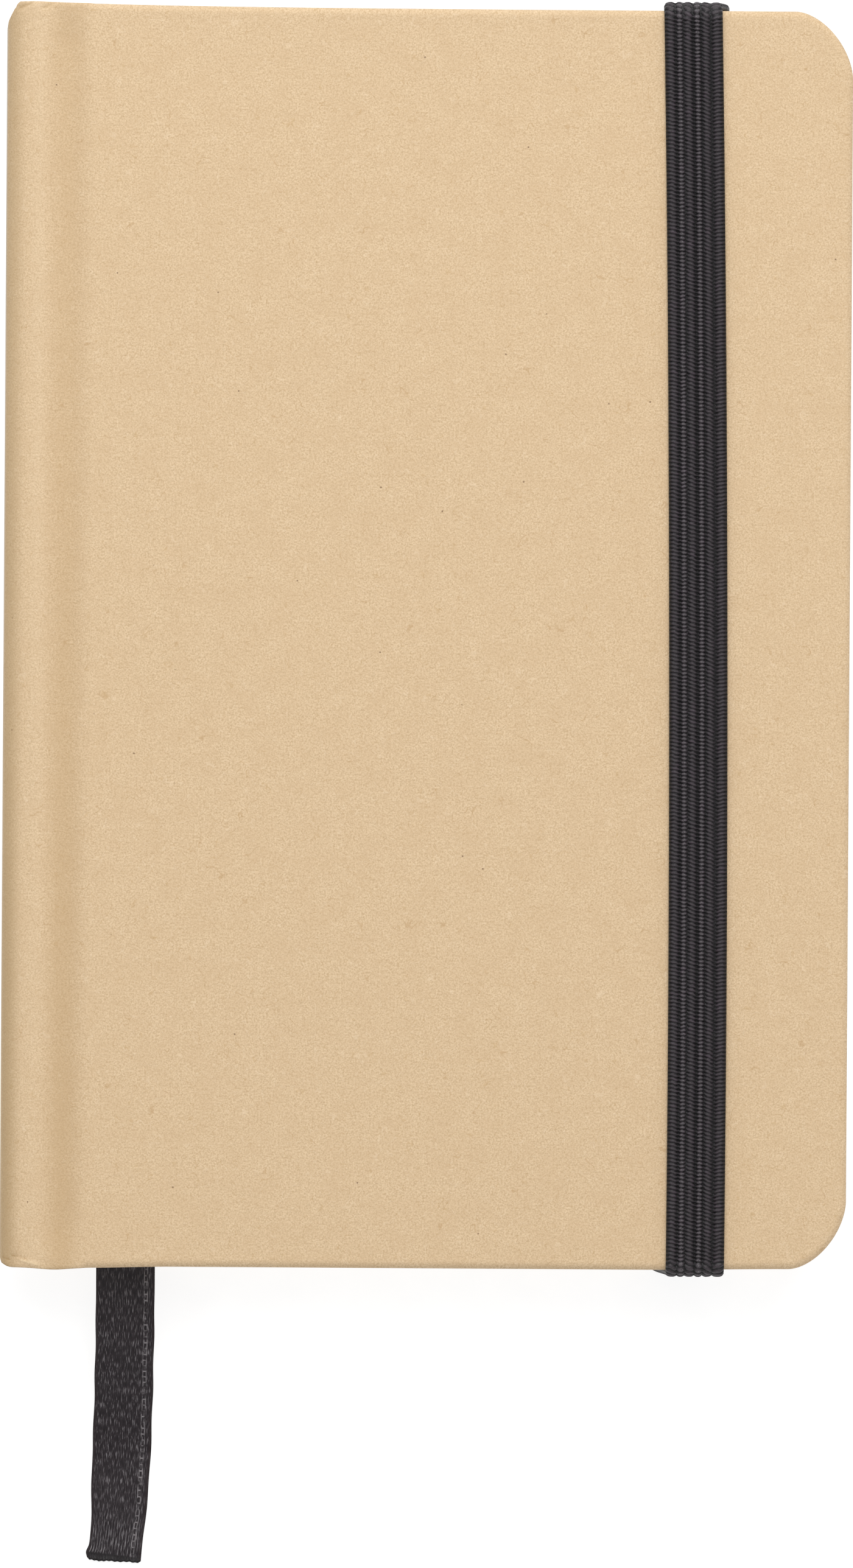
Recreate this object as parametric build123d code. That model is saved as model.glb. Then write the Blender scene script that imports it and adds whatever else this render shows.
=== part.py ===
from build123d import *
import os
from math import radians, tan

# Pocket notebook: a sewn text block in a hard case covered in kraft paper, with a ribbon
# bookmark and an elastic closure. Millimetres. The closed book lies on its back cover:
# X runs from the spine to the fore-edge, Y from the tail to the head, Z up. The origin is
# under the middle of the covers, level with the underside of the elastic on the back.

# ---- case ----
cover_width = 95.0          # spine face to fore-edge
cover_height = 142.0        # tail to head
board_thickness = 2.0
spine_board_thickness = 1.5
kraft_thickness = 0.25
corner_radius = 9.0         # fore-edge corners of the covers
turn_in = 14.0              # kraft folded over the inner edges of the boards
spine_edge_radius = 1.0     # rounded long edges of the spine, and the axes it rolls about
joint_width = 7.2           # flexible kraft between spine and board
joint_thickness = 0.3       # kraft and its lining
groove_depth = 0.9          # how far the joint is pressed in
groove_floor = 1.2
groove_slope = 1.6
joint_clearance = 0.65      # left beside the spine so that it can roll

# ---- text block ----
section_count = 10
leaves_per_section = 8
leaf_thickness = 0.1
square = 3.0                # cover beyond the pages at head and tail
fore_edge_square = 3.35     # and at the fore-edge
page_corner_radius = 5.5
fold_radius = 0.3
endpaper_thickness = 0.15
section_air = 0.03
cover_air = 0.05
spine_hollow = 0.35         # between the spine lining and the mull
mull_thickness = 0.2
thread_room = 0.3
thread_diameter = 0.24
thread_stations = 5
thread_to_tab = 3.0         # between the last station and the ribbon's glued end
mull_margin = 8.0
lining_thickness = 0.15
lining_margin = 4.0

# ---- elastic closure ----
band_width = 6.5
band_thickness = 0.9
band_from_fore_edge = 17.0  # to the middle of the band
band_air = 0.05
band_dent = 0.15            # pressed into the kraft of the back cover
anchor_reach = 13.0         # from the head or tail edge to the anchor slot
slot_clearance = 0.2
anchor_tail_length = 11.0
anchor_tail_thickness = 0.7

# ---- ribbon bookmark ----
ribbon_width = 6.7
ribbon_thickness = 0.3
ribbon_gap = 0.45           # opening between the two middle sections
ribbon_lift = 0.06          # the slight twist keeps its middle just off the table
tab_length = 24.0
tab_thickness = 0.22
tab_from_head = 1.0         # below the head of the pages

# ---- heights, worked out from the table upwards ----
section_thickness = leaves_per_section * leaf_thickness
half_count = section_count // 2
back_face = band_thickness - band_dent
back_board_bottom = back_face + kraft_thickness
back_board_top = back_board_bottom + board_thickness
back_pastedown_bottom = back_board_top + kraft_thickness
back_pastedown_top = back_pastedown_bottom + endpaper_thickness
back_flyleaf_bottom = back_pastedown_top + cover_air
rear_half_bottom = back_flyleaf_bottom + endpaper_thickness + section_air
section_pitch = section_thickness + section_air
gap_bottom = rear_half_bottom + half_count * section_pitch - section_air
gap_top = gap_bottom + ribbon_gap
middle = (gap_bottom + gap_top) / 2


def mirrored(z):
    """The height as far above the middle opening as z is below it."""
    return 2 * middle - z


front_face = mirrored(back_face)

# ---- places across the book ----
spine_face = -cover_width / 2
fore_edge = cover_width / 2
spine_board_inner = spine_face + kraft_thickness + spine_board_thickness
lining_inner = spine_board_inner + lining_thickness
mull_face = lining_inner + spine_hollow
mull_back = mull_face + mull_thickness
text_spine = mull_back + thread_room
text_fore_edge = fore_edge - fore_edge_square
joint_start = spine_board_inner + joint_clearance
board_start = joint_start + joint_width
head = cover_height / 2
text_head = head - square
tab_head = text_head - tab_from_head
band_middle = fore_edge - band_from_fore_edge
band_outside = head + band_air + band_thickness
band_top_start = front_face + band_air


def plate(x0, x1, half_length, z0, z1, radius=0.0):
    """A flat sheet, symmetric about Y = 0, with its two fore-edge corners rounded."""
    outline = Pos((x0 + x1) / 2, 0) * Rectangle(x1 - x0, 2 * half_length)
    if radius:
        outline = fillet(outline.vertices().sort_by(Axis.X)[-2:], radius)
    return Pos(0, 0, z0) * extrude(outline, z1 - z0)


def block(x0, x1, y0, y1, z0, z1):
    """A rectangular piece between two corners."""
    middle_point = Pos((x0 + x1) / 2, (y0 + y1) / 2, (z0 + z1) / 2)
    return middle_point * Box(abs(x1 - x0), abs(y1 - y0), abs(z1 - z0))


def flipped(solid):
    """The piece of the front cover that matches one of the back cover."""
    return solid.mirror(Plane.XY.offset(middle))


# ---- back cover; the front cover is its mirror image ----
def cover_board():
    return plate(
        board_start, fore_edge - kraft_thickness, head - kraft_thickness,
        back_board_bottom, back_board_top, corner_radius - kraft_thickness,
    )


def cover_wrap():
    """Kraft paper round the board, folded over its head, tail and fore-edge."""
    skin = plate(board_start, fore_edge, head, back_face, back_pastedown_bottom, corner_radius)
    window = plate(
        board_start, fore_edge - turn_in, head - turn_in, back_board_top, back_pastedown_bottom
    )
    return skin - cover_board() - window


def cover_joint():
    """The flexible strip between spine and board, pressed into a groove along the board."""
    groove_end = board_start
    floor_end = groove_end - groove_slope
    floor_start = floor_end - groove_floor
    shoulder_end = floor_start - groove_slope
    outer = [
        (joint_start, back_face),
        (shoulder_end, back_face),
        (floor_start, back_face + groove_depth),
        (floor_end, back_face + groove_depth),
        (groove_end, back_face),
    ]
    inner = [(x, z + joint_thickness) for x, z in reversed(outer)]
    profile = make_face(Plane.XZ * Polyline(*outer, *inner, close=True))
    return extrude(profile, amount=head, both=True)


def cover_pastedown():
    """The pasted half of the endpaper, sunk between the turned-in edges."""
    sheet_start = board_start + 1.4
    sheet = plate(
        sheet_start, text_fore_edge, text_head,
        back_pastedown_bottom, back_pastedown_top, page_corner_radius,
    )
    sunk = plate(
        sheet_start, fore_edge - turn_in, head - turn_in, back_board_top, back_pastedown_bottom
    )
    return sheet + sunk


def flyleaf():
    """The free half of the endpaper, tipped to the outermost section."""
    return plate(
        text_spine, text_fore_edge, text_head,
        back_flyleaf_bottom, back_flyleaf_bottom + endpaper_thickness, page_corner_radius,
    )


# ---- the elastic where it meets the back cover ----
slot_middle = head - anchor_reach
slot_half_width = band_width / 2 + slot_clearance
slot_half_length = anchor_tail_thickness / 2 + slot_clearance


def anchor_cuts(side):
    """The dent under the elastic, the slot through the cover and the recess for the glued end."""
    x0, x1 = band_middle - slot_half_width, band_middle + slot_half_width
    dent_start = slot_middle - slot_half_length
    y_slot = side * slot_middle
    recess_end = slot_middle - slot_half_length - anchor_tail_length
    dent = block(x0, x1, side * dent_start, side * (head + 1), back_face - 1, band_thickness)
    slot = block(
        x0, x1, y_slot - slot_half_length, y_slot + slot_half_length,
        back_face - 1, back_pastedown_bottom,
    )
    recess = block(
        x0, x1, side * recess_end, side * (slot_middle + slot_half_length),
        back_board_top - anchor_tail_thickness, back_board_top,
    )
    return dent, slot, recess


def elastic_stub(side):
    """The elastic on the outside of the back cover, from the edge to the slot."""
    start = side * (slot_middle - anchor_tail_thickness / 2)
    return block(
        band_middle - band_width / 2, band_middle + band_width / 2,
        start, side * band_outside, 0, band_thickness,
    )


def elastic_end(side):
    """The end of the elastic, through the slot and glued flat under the pastedown."""
    x0, x1 = band_middle - band_width / 2, band_middle + band_width / 2
    half = anchor_tail_thickness / 2
    through = block(
        x0, x1, side * slot_middle - half, side * slot_middle + half,
        band_thickness, back_board_top,
    )
    end = slot_middle + half - anchor_tail_length
    glued = block(
        x0, x1, side * end, side * (slot_middle + half),
        back_board_top - anchor_tail_thickness, back_board_top,
    )
    return through + glued


def elastic_arm(side):
    """The elastic across the head or tail of the closed book."""
    return block(
        band_middle - band_width / 2, band_middle + band_width / 2,
        side * (head + band_air), side * band_outside,
        band_thickness + band_air, front_face,
    )


def elastic_front_run():
    """The elastic over the front cover."""
    return block(
        band_middle - band_width / 2, band_middle + band_width / 2,
        -band_outside, band_outside, band_top_start, band_top_start + band_thickness,
    )


# ---- spine ----
def spine_slab(inset, half_length, radius):
    slab = block(
        spine_face + inset, spine_board_inner, -half_length, half_length,
        back_face + inset, front_face - inset,
    )
    return fillet(slab.edges().filter_by(Axis.Y).sort_by(Axis.X)[:2], radius)


def spine_board():
    return spine_slab(kraft_thickness, head - kraft_thickness, spine_edge_radius - kraft_thickness)


def spine_wrap():
    return spine_slab(0, head, spine_edge_radius) - spine_board()


def spine_lining():
    return block(
        spine_board_inner, lining_inner, -head + lining_margin, head - lining_margin,
        back_board_bottom + 1.0, mirrored(back_board_bottom + 1.0),
    )


# ---- text block ----
def section(number):
    """One folded and sewn section. Number 1 lies under the front cover."""
    from_middle = number - half_count - 1 if number > half_count else half_count - number
    top = gap_bottom - from_middle * section_pitch
    leaves = plate(
        text_spine, text_fore_edge, text_head, top - section_thickness, top, page_corner_radius
    )
    folds = leaves.edges().filter_by(Axis.Y).sort_by(Axis.X)[:2]
    leaves = fillet(folds, fold_radius)
    return leaves if number > half_count else flipped(leaves)


def mull():
    """Open-weave cloth glued over the backs of the sections."""
    bottom = rear_half_bottom + fold_radius
    return block(
        mull_face, mull_back, -text_head + mull_margin, text_head - mull_margin,
        bottom, mirrored(bottom),
    )


def sewing_threads():
    """Link stitches over the backs of the sections, one column at each sewing station."""
    bottom = rear_half_bottom + fold_radius
    length = 2 * (middle - bottom)
    column = Cylinder(thread_diameter / 2, length)
    last = tab_head - tab_length - thread_to_tab
    places = [last - n * 2 * last / (thread_stations - 1) for n in range(thread_stations)]
    x = mull_back + thread_room / 2
    return Compound(children=[Pos(x, y, middle) * column for y in places])


def ribbon_tab():
    """The glued end of the ribbon, between the mull and the sections near the head."""
    x0 = mull_back + (thread_room - tab_thickness) / 2
    return block(
        x0, x0 + tab_thickness, tab_head - tab_length, tab_head,
        middle - ribbon_width / 2, middle + ribbon_width / 2,
    )


# ---- ribbon ----
lying = ribbon_thickness / 2 + ribbon_lift
ribbon_route = [
    (-40.4, 66.0, middle),
    (-39.9, 48.0, middle),
    (-37.9, 16.0, middle),
    (-35.2, -22.0, middle),
    (-33.6, -54.0, middle),
    (-33.4, -74.5, middle),
    (-33.9, -90.5, lying),
    (-34.3, -98.2, lying),
    (-35.1, -104.95, lying),
]


def turn_radii(points):
    """For each corner, 0.45 of its shorter run over the tangent of half the turn."""
    radii = []
    for before, corner, after in zip(points, points[1:], points[2:]):
        run_in = Vector(*corner) - Vector(*before)
        run_out = Vector(*after) - Vector(*corner)
        half_turn = radians(run_in.get_angle(run_out)) / 2
        radii.append(0.45 * min(run_in.length, run_out.length) / tan(half_turn))
    return radii


def ribbon_bookmark():
    """The free ribbon: down between the middle sections, out at the tail and onto the table."""
    radii = turn_radii(ribbon_route)
    print("ribbon radii", [round(r, 1) for r in radii])
    path = FilletPolyline(*ribbon_route, radius=radii)
    start = Plane(path @ 0, x_dir=(1, 0, 0), z_dir=path % 0)
    ribbon = sweep(start * Rectangle(ribbon_width, ribbon_thickness), path)
    wanted = path.length * ribbon_width * ribbon_thickness
    print("ribbon length", round(path.length, 2), "volume share", round(ribbon.volume / wanted, 4))
    return ribbon


def back_pieces():
    """Nodes of the back cover, with the anchors of the elastic let into it."""
    board, wrap = cover_board(), cover_wrap()
    for side in (-1, 1):
        dent, slot, recess = anchor_cuts(side)
        board = board - slot - recess
        wrap = wrap - dent - slot
    return {
        "back_board": board,
        "back_wrap": wrap,
        "back_joint": cover_joint(),
        "back_pastedown": cover_pastedown(),
        "back_flyleaf": flyleaf(),
    }


def front_pieces():
    made = {
        "front_board": cover_board(),
        "front_wrap": cover_wrap(),
        "front_joint": cover_joint(),
        "front_pastedown": cover_pastedown(),
        "front_flyleaf": flyleaf(),
    }
    return {name: flipped(solid) for name, solid in made.items()}


nodes = back_pieces() | front_pieces()
nodes["spine_board"] = spine_board()
nodes["spine_wrap"] = spine_wrap()
nodes["spine_lining"] = spine_lining()
for number in range(1, section_count + 1):
    nodes[f"section_{number:02d}"] = section(number)
nodes["mull"] = mull()
nodes["sewing_threads"] = sewing_threads()
nodes["ribbon_tab"] = ribbon_tab()
nodes["ribbon_bookmark"] = ribbon_bookmark()
for end, side in (("head", 1), ("tail", -1)):
    nodes[f"elastic_stub_{end}"] = elastic_stub(side)
    nodes[f"elastic_end_{end}"] = elastic_end(side)
    nodes[f"elastic_arm_{end}"] = elastic_arm(side)
nodes["elastic_front_run"] = elastic_front_run()

os.makedirs("parts", exist_ok=True)
for name, solid in nodes.items():
    export_step(solid, f"parts/{name}.step")
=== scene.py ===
"""Pocket notebook in a kraft case, with a ribbon bookmark and an elastic closure.

Lengths in the tables and functions below are millimetres; meshes are made in metres.
"""
import math

import bpy
import numpy as np
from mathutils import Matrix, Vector


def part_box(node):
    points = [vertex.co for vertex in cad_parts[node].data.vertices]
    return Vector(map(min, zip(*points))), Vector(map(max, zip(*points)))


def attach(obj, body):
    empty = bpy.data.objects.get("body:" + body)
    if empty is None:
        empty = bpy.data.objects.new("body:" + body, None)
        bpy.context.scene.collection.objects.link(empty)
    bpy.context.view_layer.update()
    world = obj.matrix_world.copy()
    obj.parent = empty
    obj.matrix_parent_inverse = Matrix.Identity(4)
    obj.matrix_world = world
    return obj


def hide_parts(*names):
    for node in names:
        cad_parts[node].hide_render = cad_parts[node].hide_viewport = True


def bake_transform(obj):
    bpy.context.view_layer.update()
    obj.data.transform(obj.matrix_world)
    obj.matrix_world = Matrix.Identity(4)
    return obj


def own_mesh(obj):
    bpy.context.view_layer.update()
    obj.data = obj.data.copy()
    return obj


MM = 0.001
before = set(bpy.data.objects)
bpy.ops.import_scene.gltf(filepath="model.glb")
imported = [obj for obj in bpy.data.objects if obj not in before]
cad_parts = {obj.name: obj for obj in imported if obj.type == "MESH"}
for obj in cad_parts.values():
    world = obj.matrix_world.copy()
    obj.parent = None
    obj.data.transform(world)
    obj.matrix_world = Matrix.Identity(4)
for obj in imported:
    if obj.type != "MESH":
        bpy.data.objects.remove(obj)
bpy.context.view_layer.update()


def box_mm(node):
    low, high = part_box(node)
    return np.array(low) / MM, np.array(high) / MM


# ---- sizes taken from the frame ----
BOARD_LOW, BOARD_HIGH = box_mm("front_wrap")
SPINE_LOW, SPINE_HIGH = box_mm("spine_wrap")
LEAF_LOW, LEAF_HIGH = box_mm("front_flyleaf")
RUN_LOW, RUN_HIGH = box_mm("elastic_front_run")
ARM_LOW = box_mm("elastic_arm_head")[0]
STUB_LOW, STUB_HIGH = box_mm("elastic_stub_head")

FRONT_FACE = BOARD_HIGH[2]
INNER_FACE = BOARD_LOW[2]
HALF_HEIGHT = BOARD_HIGH[1]
FORE_EDGE = BOARD_HIGH[0]
SPINE_FACE = SPINE_LOW[0]
BOARD_START = BOARD_LOW[0]
MIDDLE = (SPINE_LOW[2] + SPINE_HIGH[2]) / 2  # of the thickness
# the cover's corners at the fore-edge: how far they reach, and how round they are
CORNER_ACROSS = 6.4
CORNER_ALONG = 7.6
CORNER_POWER = 1.72
TEXT_SPINE = LEAF_LOW[0]
TEXT_FORE_EDGE = LEAF_HIGH[0]
TEXT_HALF = LEAF_HIGH[1]
PAGE_CORNER = 5.5

# ---- camera ----
VIEW_CENTRE = (0.16, -16.5)
VIEW_HEIGHT = 175.73
CAMERA_ABOVE = 1000.0
CAMERA_ROLL = 0.37


def make_camera():
    data = bpy.data.cameras.new("camera")
    camera = bpy.data.objects.new("camera", data)
    bpy.context.scene.collection.objects.link(camera)
    data.sensor_width = 36
    data.lens = data.sensor_width * CAMERA_ABOVE / VIEW_HEIGHT
    height = FRONT_FACE + CAMERA_ABOVE
    camera.location = (VIEW_CENTRE[0] * MM, VIEW_CENTRE[1] * MM, height * MM)
    camera.rotation_euler = (0, 0, math.radians(CAMERA_ROLL))
    data.clip_start = 0.01
    data.clip_end = 20
    bpy.context.scene.camera = camera


make_camera()


# ---- numbers ----
WAVES = 7


def smooth(x, start, end):
    t = np.clip((np.asarray(x, float) - start) / (end - start), 0, 1)
    return t * t * (3 - 2 * t)


def rounded(distance, radius):
    """How far a rounded edge has dropped, at that distance in from the outline."""
    d = np.clip(np.asarray(distance, float) / radius, 0, 1)
    return radius * (1 - np.sqrt(np.clip(1 - (1 - d) ** 2, 0, 1)))


def noise_2d(x, y, wavelength, seed):
    """Smooth waves in no particular direction, about -1 to 1."""
    random = np.random.default_rng(seed)
    total = np.zeros(np.broadcast(x, y).shape)
    for _ in range(WAVES):
        angle = random.uniform(0, 2 * math.pi)
        length = wavelength * random.uniform(0.7, 1.5)
        phase = random.uniform(0, 2 * math.pi)
        along = x * math.cos(angle) + y * math.sin(angle)
        total = total + np.sin(2 * math.pi * along / length + phase)
    return total / (WAVES / 2)


# ---- meshes ----
LEAST_VOLUME = 0.01  # mm3, below which a mesh is a sheet and keeps its faces
INSIDE_OF_MAP = (200.0, 0.0)  # keeps a shell's inner face apart from its outer one on the map
QUAD = 4


def make_mesh(name, points, faces, material, uv=None, corner_uv=None):
    """A smooth mesh; its surface map is given for each point, or for each corner of each face."""
    mesh = bpy.data.meshes.new(name)
    metres = (np.asarray(points, float) * MM).tolist()
    mesh.from_pydata(metres, [], [list(map(int, face)) for face in faces])
    mesh.materials.append(material)
    mesh.polygons.foreach_set("use_smooth", [True] * len(mesh.polygons))
    if uv is not None:
        corner_uv = np.asarray(uv, float)[[i for face in faces for i in face]]
    if corner_uv is not None:
        layer = mesh.uv_layers.new(name="surface")
        layer.data.foreach_set("uv", (corner_uv * MM).ravel())
    mesh.validate()
    mesh.update()
    face_outward(mesh)
    obj = bpy.data.objects.new(name, mesh)
    bpy.context.scene.collection.objects.link(obj)
    return obj


def face_outward(mesh):
    """Turns the faces over if the volume that they enclose is negative."""
    mesh.calc_loop_triangles()
    corners = np.empty(3 * len(mesh.loop_triangles), dtype=np.int32)
    mesh.loop_triangles.foreach_get("vertices", corners)
    places = np.empty(3 * len(mesh.vertices), dtype=np.float32)
    mesh.vertices.foreach_get("co", places)
    a, b, c = places.astype(float).reshape(-1, 3)[corners].reshape(-1, 3, 3).transpose(1, 0, 2)
    if np.sum(a * np.cross(b, c)) / 6 < -LEAST_VOLUME * MM**3:
        mesh.flip_normals()


def grid_faces(rows, columns, start=0, turned=False):
    """Quads over rows x columns points in row order; turned runs round them the other way."""
    faces = []
    for i in range(rows - 1):
        for k in range(columns - 1):
            a = start + i * columns + k
            b = a + columns
            quad = (a, a + 1, b + 1, b)
            faces.append(quad[::-1] if turned else quad)
    return faces


def skin_faces(rows, columns, turned=False):
    """Faces of a closed skin between two grids; the last ones are its rim."""
    count = rows * columns
    faces = grid_faces(rows, columns, 0, turned)
    faces += grid_faces(rows, columns, count, not turned)
    ring = list(range(columns))
    ring += [i * columns + columns - 1 for i in range(1, rows)]
    ring += [(rows - 1) * columns + k for k in range(columns - 2, -1, -1)]
    ring += [i * columns for i in range(rows - 2, 0, -1)]
    for a, b in zip(ring, ring[1:] + ring[:1]):
        quad = (b, a, a + count, b + count)
        faces.append(quad[::-1] if turned else quad)
    return faces


def shell_map(outer, inner, uv, faces):
    """The surface map of a shell, carried over its rim without stretching."""
    flat = uv.reshape(-1, 2)
    both = np.concatenate([flat, flat + INSIDE_OF_MAP])
    corners = np.array([i for face in faces for i in face])
    corner_uv = both[corners]
    outward = np.zeros(uv.shape)
    outward[0] += uv[0] - uv[1]
    outward[-1] += uv[-1] - uv[-2]
    outward[:, 0] += uv[:, 0] - uv[:, 1]
    outward[:, -1] += uv[:, -1] - uv[:, -2]
    outward /= np.maximum(np.linalg.norm(outward, axis=2, keepdims=True), 1e-9)
    depth = np.linalg.norm(outer - inner, axis=2, keepdims=True)
    beyond = (uv + outward * depth).reshape(-1, 2)
    rim_faces = 2 * (uv.shape[0] + uv.shape[1]) - 4
    rim = np.arange(len(corners)) >= len(corners) - QUAD * rim_faces
    below = rim & (corners >= len(flat))
    corner_uv[below] = beyond[corners[below] - len(flat)]
    return corner_uv


def shell_mesh(name, outer, inner, material, uv, turned=False, crisp=0):
    """A closed skin between two grids of the same size, joined round their borders."""
    faces = skin_faces(*outer.shape[:2], turned)
    points = np.concatenate([outer.reshape(-1, 3), inner.reshape(-1, 3)])
    corner_uv = shell_map(outer, inner, uv, faces)
    shell = make_mesh(name, points, faces, material, corner_uv=corner_uv)
    if crisp:
        shell.data.set_sharp_from_angle(angle=math.radians(crisp))
    return shell


def mark(shell, attribute, values):
    """Gives each point of a shell's outer face a number for its material, and the others 0."""
    layer = shell.data.attributes.new(attribute, "FLOAT", "POINT")
    numbers = np.zeros(len(shell.data.vertices), dtype=np.float32)
    numbers[:values.size] = values.ravel()
    layer.data.foreach_set("value", numbers)


def join_meshes(name, parts, material):
    """One mesh out of several lists of (points, faces, uv)."""
    points, faces, uv, start = [], [], [], 0
    for part_points, part_faces, part_uv in parts:
        points.append(part_points)
        uv.append(part_uv)
        faces += [tuple(start + i for i in face) for face in part_faces]
        start += len(part_points)
    return make_mesh(name, np.concatenate(points), faces, material, np.concatenate(uv))


# ---- materials ----
class Look:
    """A procedural material under construction."""

    def __init__(self, name, roughness, specular=0.5, **sockets):
        self.material = bpy.data.materials.new(name)
        self.material.use_nodes = True
        self.tree = self.material.node_tree
        self.shader = self.tree.nodes["Principled BSDF"]
        self.shader.inputs["Roughness"].default_value = roughness
        self.shader.inputs["Specular IOR Level"].default_value = specular
        for socket, value in sockets.items():
            self.shader.inputs[socket.replace("_", " ")].default_value = value
        self.height = None

    def node(self, kind, settings=(), **inputs):
        made = self.tree.nodes.new(kind)
        for key, value in dict(settings).items():
            setattr(made, key, value)
        for key, value in inputs.items():
            self.put(made.inputs[key.replace("_", " ")], value)
        return made

    def put(self, socket, value):
        if isinstance(value, bpy.types.NodeSocket):
            self.tree.links.new(value, socket)
        else:
            socket.default_value = value

    def surface(self, stretch=(1, 1, 1)):
        """Coordinates that stay with the surface, in metres along and across it."""
        found = self.node("ShaderNodeUVMap", {"uv_map": "surface"}).outputs["UV"]
        return self.node("ShaderNodeMapping", Vector=found, Scale=stretch).outputs["Vector"]

    def place(self, stretch=(1, 1, 1)):
        found = self.node("ShaderNodeTexCoord").outputs["Object"]
        return self.node("ShaderNodeMapping", Vector=found, Scale=stretch).outputs["Vector"]

    def noise(self, where, size, detail=2.0, roughness=0.5, distortion=0.0):
        """Noise whose lumps are about size millimetres across."""
        made = self.node(
            "ShaderNodeTexNoise", Vector=where, Scale=1 / (size * MM),
            Detail=detail, Roughness=roughness, Distortion=distortion,
        )
        return made.outputs["Fac"]

    def moved(self, where, offset):
        made = self.node("ShaderNodeVectorMath", {"operation": "ADD"})
        self.put(made.inputs[0], where)
        made.inputs[1].default_value = offset
        return made.outputs["Vector"]

    def sum(self, operation, a, b=None, c=None):
        made = self.node("ShaderNodeMath", {"operation": operation})
        self.put(made.inputs[0], a)
        if b is not None:
            self.put(made.inputs[1], b)
        if c is not None:
            self.put(made.inputs[2], c)
        return made.outputs["Value"]

    def ramp(self, value, low, high, at_low=0.0, at_high=1.0):
        made = self.node(
            "ShaderNodeMapRange", {"interpolation_type": "SMOOTHSTEP"}, Value=value,
            From_Min=low, From_Max=high, To_Min=at_low, To_Max=at_high,
        )
        return made.outputs["Result"]

    def mix(self, factor, a, b, blend="MIX"):
        made = self.node("ShaderNodeMix", {"data_type": "RGBA", "blend_type": blend})
        self.put(made.inputs[0], factor)
        self.put(made.inputs[6], a)
        self.put(made.inputs[7], b)
        return made.outputs[2]

    def fibres(self, where, spread, width, cover, seed):
        """Short curled hairs: parts of the level lines of a noise. 1 on a hair, 0 off it."""
        lines = self.noise(self.moved(where, (seed, 2 * seed, 0)), spread, 1.2, 0.45, 0.15)
        away = self.sum("ABSOLUTE", self.sum("SUBTRACT", lines, 0.5))
        hair = self.ramp(away, width * 0.4, width, 1.0, 0.0)
        kept = self.noise(self.moved(where, (3 * seed, seed, 0)), spread * 0.8, 1.0)
        return self.sum("MULTIPLY", hair, self.ramp(kept, cover, cover + 0.05))

    def bump(self, value, depth, strength=1.0):
        """Adds relief depth millimetres deep."""
        made = self.node("ShaderNodeBump", Height=value, Distance=depth * MM, Strength=strength)
        if self.height is not None:
            self.put(made.inputs["Normal"], self.height)
        self.height = made.outputs["Normal"]

    def done(self, colour=None, roughness=None):
        if colour is not None:
            self.put(self.shader.inputs["Base Color"], colour)
        if roughness is not None:
            self.put(self.shader.inputs["Roughness"], roughness)
        if self.height is not None:
            self.put(self.shader.inputs["Normal"], self.height)
        return self.material


def rgb(red, green, blue):
    return (red, green, blue, 1.0)


KRAFT_DARK = rgb(0.530, 0.378, 0.222)
KRAFT_PALE = rgb(0.722, 0.546, 0.350)
KRAFT_CLOUD = rgb(0.600, 0.430, 0.258)
KRAFT_SPECK = rgb(0.20, 0.12, 0.07)
CREASE_PAINTED_SHADE = rgb(0.34, 0.21, 0.08)
CREASE_PAINTED_HIGHLIGHT = rgb(0.84, 0.66, 0.42)
HAIRS = [
    # spread, width, how few, seed, strength, colour
    (2.6, 0.0075, 0.56, 0.31, 0.36, rgb(0.44, 0.27, 0.12)),
    (1.7, 0.0105, 0.54, 0.77, 0.26, rgb(0.47, 0.30, 0.13)),
    (1.1, 0.0170, 0.52, 1.21, 0.20, rgb(0.47, 0.31, 0.15)),
    (0.6, 0.0290, 0.50, 2.57, 0.22, rgb(0.46, 0.30, 0.15)),
    (2.1, 0.0100, 0.54, 1.63, 0.22, rgb(0.82, 0.66, 0.47)),
    (0.9, 0.0200, 0.52, 2.09, 0.22, rgb(0.82, 0.66, 0.47)),
]
SPECK_SPACING = 2.3
LINE_STRENGTH_TAIL = -65.0
LINE_STRENGTH_HEAD = 50.0
LINE_CORE = 0.1
# painted shade and sheen along the spine's edge, a painted highlight on the shoulder, and the
# groove's pressed tone deepened with painted shade: x, reach, strength at the head and at the tail,
# colour
PAINTED_LIGHT_AND_PRESS_LINES = [
    # the groove: its pressed tone, deepened with painted shade
    (-40.45, 2.6, 0.26, 0.44, (0.45, 0.30, 0.15)),
    # painted shade on the spine's rounded edge
    (-46.85, 2.3, 0.46, 0.66, (0.38, 0.26, 0.13)),
    # painted grazing sheen along the spine's edge, strongest at the head
    (-47.42, 0.6, 0.70, 0.10, (0.52, 0.48, 0.42)),
    # painted highlight on the shoulder's crown
    (-43.6, 1.4, 0.10, 0.04, (0.80, 0.64, 0.45)),
]


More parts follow.
